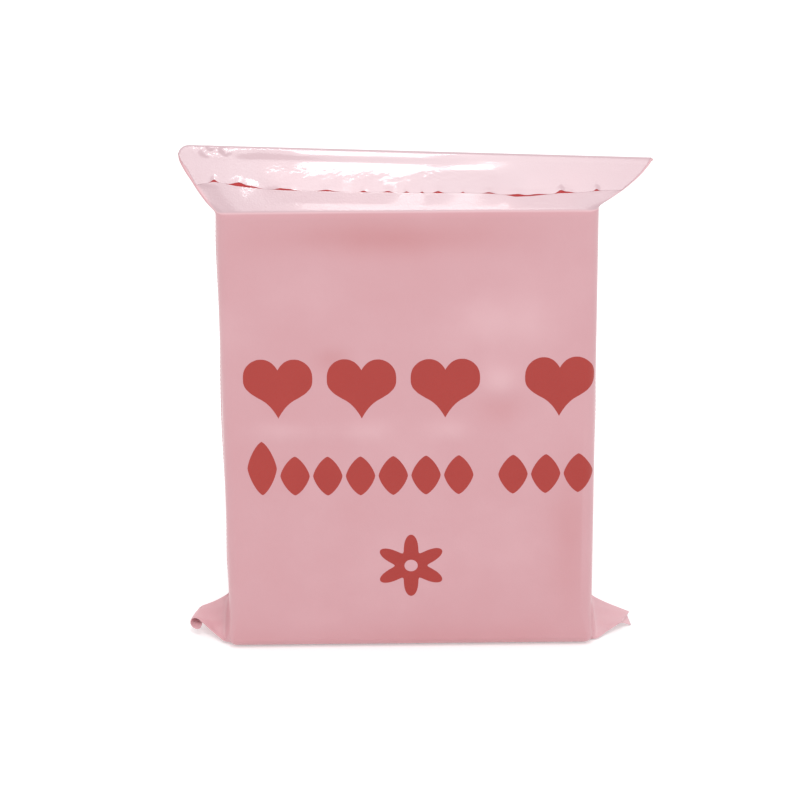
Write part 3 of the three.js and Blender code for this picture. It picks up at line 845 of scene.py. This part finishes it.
# Painted shade: a deep red for the gap under the lifted lip.
gap_shade = bpy.data.materials.new("gap_shade")
gap_shade.use_nodes = True
tree = gap_shade.node_tree
gap_shade_noise = tree.nodes.new("ShaderNodeTexNoise")
gap_shade_noise.inputs["Scale"].default_value = 400.0
tree.links.new(tree.nodes.new("ShaderNodeTexCoord").outputs["Object"], gap_shade_noise.inputs["Vector"])
gap_shade_surface = tree.nodes["Principled BSDF"]
gap_shade_surface.inputs["Roughness"].default_value = 0.7
tree.links.new(mixed_colour(tree, gap_shade_noise.outputs["Fac"], GAP_SHADE_DEEP, GAP_SHADE_LIGHT),
               gap_shade_surface.inputs["Base Color"])

band_x = np.linspace(BAND_LEFT, BAND_RIGHT, 300)[None, :] + np.zeros((5, 1))
band_down = lip_reach(band_x) - np.linspace(BAND_WIDE, BAND_INSIDE, 5)[:, None]
band_stand = film_stand(band_x, band_down) + BAND_PROUD
band_points, band_faces = shell_of(on_slope(band_x, band_down, band_stand)[::-1],
                                   on_slope(band_x, band_down, band_stand - BAND_DEPTH)[::-1])
make_piece("gap_shade_band", band_points, band_faces, gap_shade, 0)


# Sealing flap. The back film carried on over the mouth of the bag: it folds forward over the
# ridge, lies on the front slope on its glue, and ends in a cut edge that arches up in places.
# Each arch is given by its middle, its half width, how far it draws back and how far it lifts.
LIP_ARCHES = [
    (-101.2, 1.6, 1.2, 0.15), (-88.3, 3.8, 2.1, 0.2), (-81.5, 3.5, 0.75, 0.1), (-66.5, 2.6, 0.95, 0.1),
    (-62, 3.0, 0.7, 0.1), (-42.5, 3.6, 0.8, 0.1), (-23.5, 1.5, 0.8, 0.1), (-10.7, 2.0, 0.75, 0.1),
    (-1, 1.0, 0.75, 0.1), (7, 0.7, 0.7, 0.1), (15.4, 2.0, 1.1, 0.1), (28.3, 0.7, 0.7, 0.1),
    (42, 2.4, 0.7, 0.1), (56.5, 4.0, 1.4, 0.15), (66, 5.0, 0.8, 0.1), (79.4, 2.2, 1.7, 0.2),
    (83.5, 2.2, 0.7, 0.1), (98, 1.2, 1.0, 0.15)]
STRIP_THICK = 0.15
STRIP_OVER_RIDGE = 0.22
BEHIND_RIDGE = 2.4
PAST_LIP = 0.35

# Fine wrinkles and creases: height, waves along the flap and down it, and where the wave starts.
WRINKLES = [(0.010, 0.45, 1.3, 0.3), (0.006, -0.8, 2.4, 1.7), (0.003, 1.7, 3.0, 2.9)]
CREASES = [
    (0.35, 0.55, 0.35, 0.4), (0.28, -0.35, 0.9, 1.9), (0.2, 1.1, -0.7, 0.9), (0.14, 0.9, 1.6, 2.6)]
CREASE_SHARE = 0.7


def arches_at(x, which):
    """How far the free edge is drawn back, or how far it stands off, as a sum of soft bumps."""
    return sum(arch[which] * np.exp(-((x - arch[0]) / arch[1]) ** 2) for arch in LIP_ARCHES)


def flap_reach(x):
    """Distance from the ridge to the flap's edge: its drawn-back lip, and near the ends no lower
    than the gable's slanted end, taken a little way in."""
    beyond = np.abs(x) - HALF_WIDTH + np.where(
        x < 0, 0.3 + 1.5 * np.exp(-((x + 114.5) / 3.5) ** 2), 1.5)
    lowest = np.where(x < 0, np.interp(beyond, GABLE_ENDS[-1][1][:-1], GABLE_ENDS[-1][0][:-1]),
                      np.interp(beyond, GABLE_ENDS[1][1], GABLE_ENDS[1][0]))
    slope_length = np.hypot(HALF_DEPTH - RIDGE_HALF, full_rise(x)) * rise_at(x) / full_rise(x)
    lip = lip_reach(x) + PAST_LIP - arches_at(x, 2)
    return np.minimum(lip, np.maximum(slope_length * (1 - lowest), 0.4))


def flap_stand(x, distance, reach):
    """What moves the strip off its smooth shape: the arches of its lip, faint wrinkles as a sum
    of sines, and the flat-sided creases of its left corner as a sum of triangular waves."""
    stand = arches_at(x, 3) * ease((distance - reach + 4) / 4)
    slack = ease((distance - 10) / 2) * ease((19 - distance) / 4) * ease((75 - np.abs(x + 12)) / 30)
    stand = stand + slack * sum(
        size * np.sin(x * a + distance * b + c) for size, a, b, c in WRINKLES)
    corner = np.exp(-((x - CREASED_X) / CREASED_HALF) ** 4)
    corner = corner * ease((distance + 1) / 2) * ease((7.5 - distance) / 4)
    facets = sum(
        size * np.abs((x * a + distance * b + c) / np.pi % 2 - 1) for size, a, b, c in CREASES)
    mean = sum(crease[0] for crease in CREASES) / 2
    return stand + corner * CREASE_SHARE * (facets - mean)


def sealing_flap():
    """For each cut through the gable the strip is drawn by its heading. Its normal swings from
    the back slope over the top of the ridge to the front slope, with a shallow hollow below the
    fold, and the points are the running sum of the headings."""
    x = np.linspace(RIDGE_LEFT + 0.3, RIDGE_RIGHT - 1.0, 480)[None, :]
    reach = flap_reach(x)
    behind = np.linspace(0, 1, 15)[:-1, None] * BEHIND_RIDGE - BEHIND_RIDGE
    distance = np.concatenate([behind + 0 * x, np.linspace(0, 1, 84)[:, None] * reach])
    slope = np.degrees(np.arctan2(HALF_DEPTH - RIDGE_HALF, full_rise(x)))
    back = np.interp(distance, [-BEHIND_RIDGE, -0.9, 0], [1.12, 1.0, 0.0])
    tilt = fold_tilt(x, distance)
    elevation = np.radians(np.where(distance < 0, 90 + back * (90 - slope), slope + tilt))
    step = np.diff(distance, axis=0)
    mid = (elevation[1:] + elevation[:-1]) / 2
    run = np.concatenate([0 * x, np.cumsum(-np.sin(mid) * step, axis=0)])
    fall = np.concatenate([0 * x, np.cumsum(-np.cos(mid) * step, axis=0)])
    apex = len(behind)
    y = run - run[apex] - ridge_forward(x)
    z = fall - fall[apex] + PACK_HEIGHT + rise_at(x) + STRIP_OVER_RIDGE
    points = np.stack([x + 0 * y, y, z], axis=-1)
    normal = np.stack([0 * y, -np.cos(elevation), np.sin(elevation)], axis=-1)
    points = points + normal * flap_stand(x, distance, reach)[..., None]
    skin = outward(points, False)
    facing = np.sign(np.sum(skin * normal, axis=-1, keepdims=True))
    half = STRIP_THICK / 2 * skin * facing
    return points + half, points - half


flap_outer, flap_inner = sealing_flap()
flap_points, flap_faces = shell_of(flap_outer[::-1], flap_inner[::-1])
flap = make_piece("sealing_flap", flap_points, flap_faces, plain_film, -2)
flap.data.set_sharp_from_angle(angle=0.8)


# Side seams. The two films are welded and cut in one stroke, which leaves a narrow crimped
# bead up the middle of each side and out under the gable to the end of the ridge.
BEAD_HALF, BEAD_PROUD, BEAD_SUNK = 0.5, 0.15, 0.9
CRIMP_DEPTH, CRIMP_TURN = 0.12, 2.1
SEAM_STARTS = 6


def side_seam(line, side):
    """A narrow bead carried up a line of points in the middle of one side: a circle in each cut,
    its size crimped by the sealing jaw, sunk into the film at its lower end."""
    steps = np.concatenate([[0], np.cumsum(np.linalg.norm(np.diff(line[:, [0, 2]], axis=0), axis=1))])
    even = np.linspace(0, steps[-1], 320)
    x, z = np.interp(even, steps, side * line[:, 0]), np.interp(even, steps, line[:, 2])
    upward = np.stack([np.gradient(x), np.gradient(z)], axis=-1)
    upward /= np.linalg.norm(upward, axis=-1, keepdims=True)
    out = np.stack([upward[:, 1], -upward[:, 0]], axis=-1)
    turn = np.linspace(0, 2 * np.pi, 13)[:-1]
    radius = BEAD_HALF * (1 + CRIMP_DEPTH * np.sin(np.arange(len(x)) * CRIMP_TURN)[:, None])
    proud = BEAD_PROUD - BEAD_SUNK * (1 - ease(even / 12))[:, None] + radius * np.cos(turn)[None, :]
    return np.stack([
        side * (x[:, None] + out[:, :1] * proud), radius * np.sin(turn)[None, :],
        z[:, None] + out[:, 1:] * proud], axis=-1)


right_middle = FACE_POINTS + CORNER_POINTS + END_POINTS // 2
left_middle = 2 * FACE_POINTS + 3 * CORNER_POINTS + END_POINTS + END_POINTS // 2
for name, side, column in (("side_seam_right", 1, right_middle), ("side_seam_left", -1, left_middle)):
    seam = side_seam(film_points[len(foot_film) - SEAM_STARTS:-1, column], side)
    if side < 0:
        seam = seam[:, ::-1]
    rows, columns = seam.shape[:2]
    seam_faces = [tuple(quad) for quad in strip_quads(rows, columns, True).tolist()]
    seam_faces.append(tuple(range(columns))[::-1])
    seam_faces.append(tuple(range((rows - 1) * columns, rows * columns)))
    make_piece(name, seam, seam_faces, plain_film, 0)
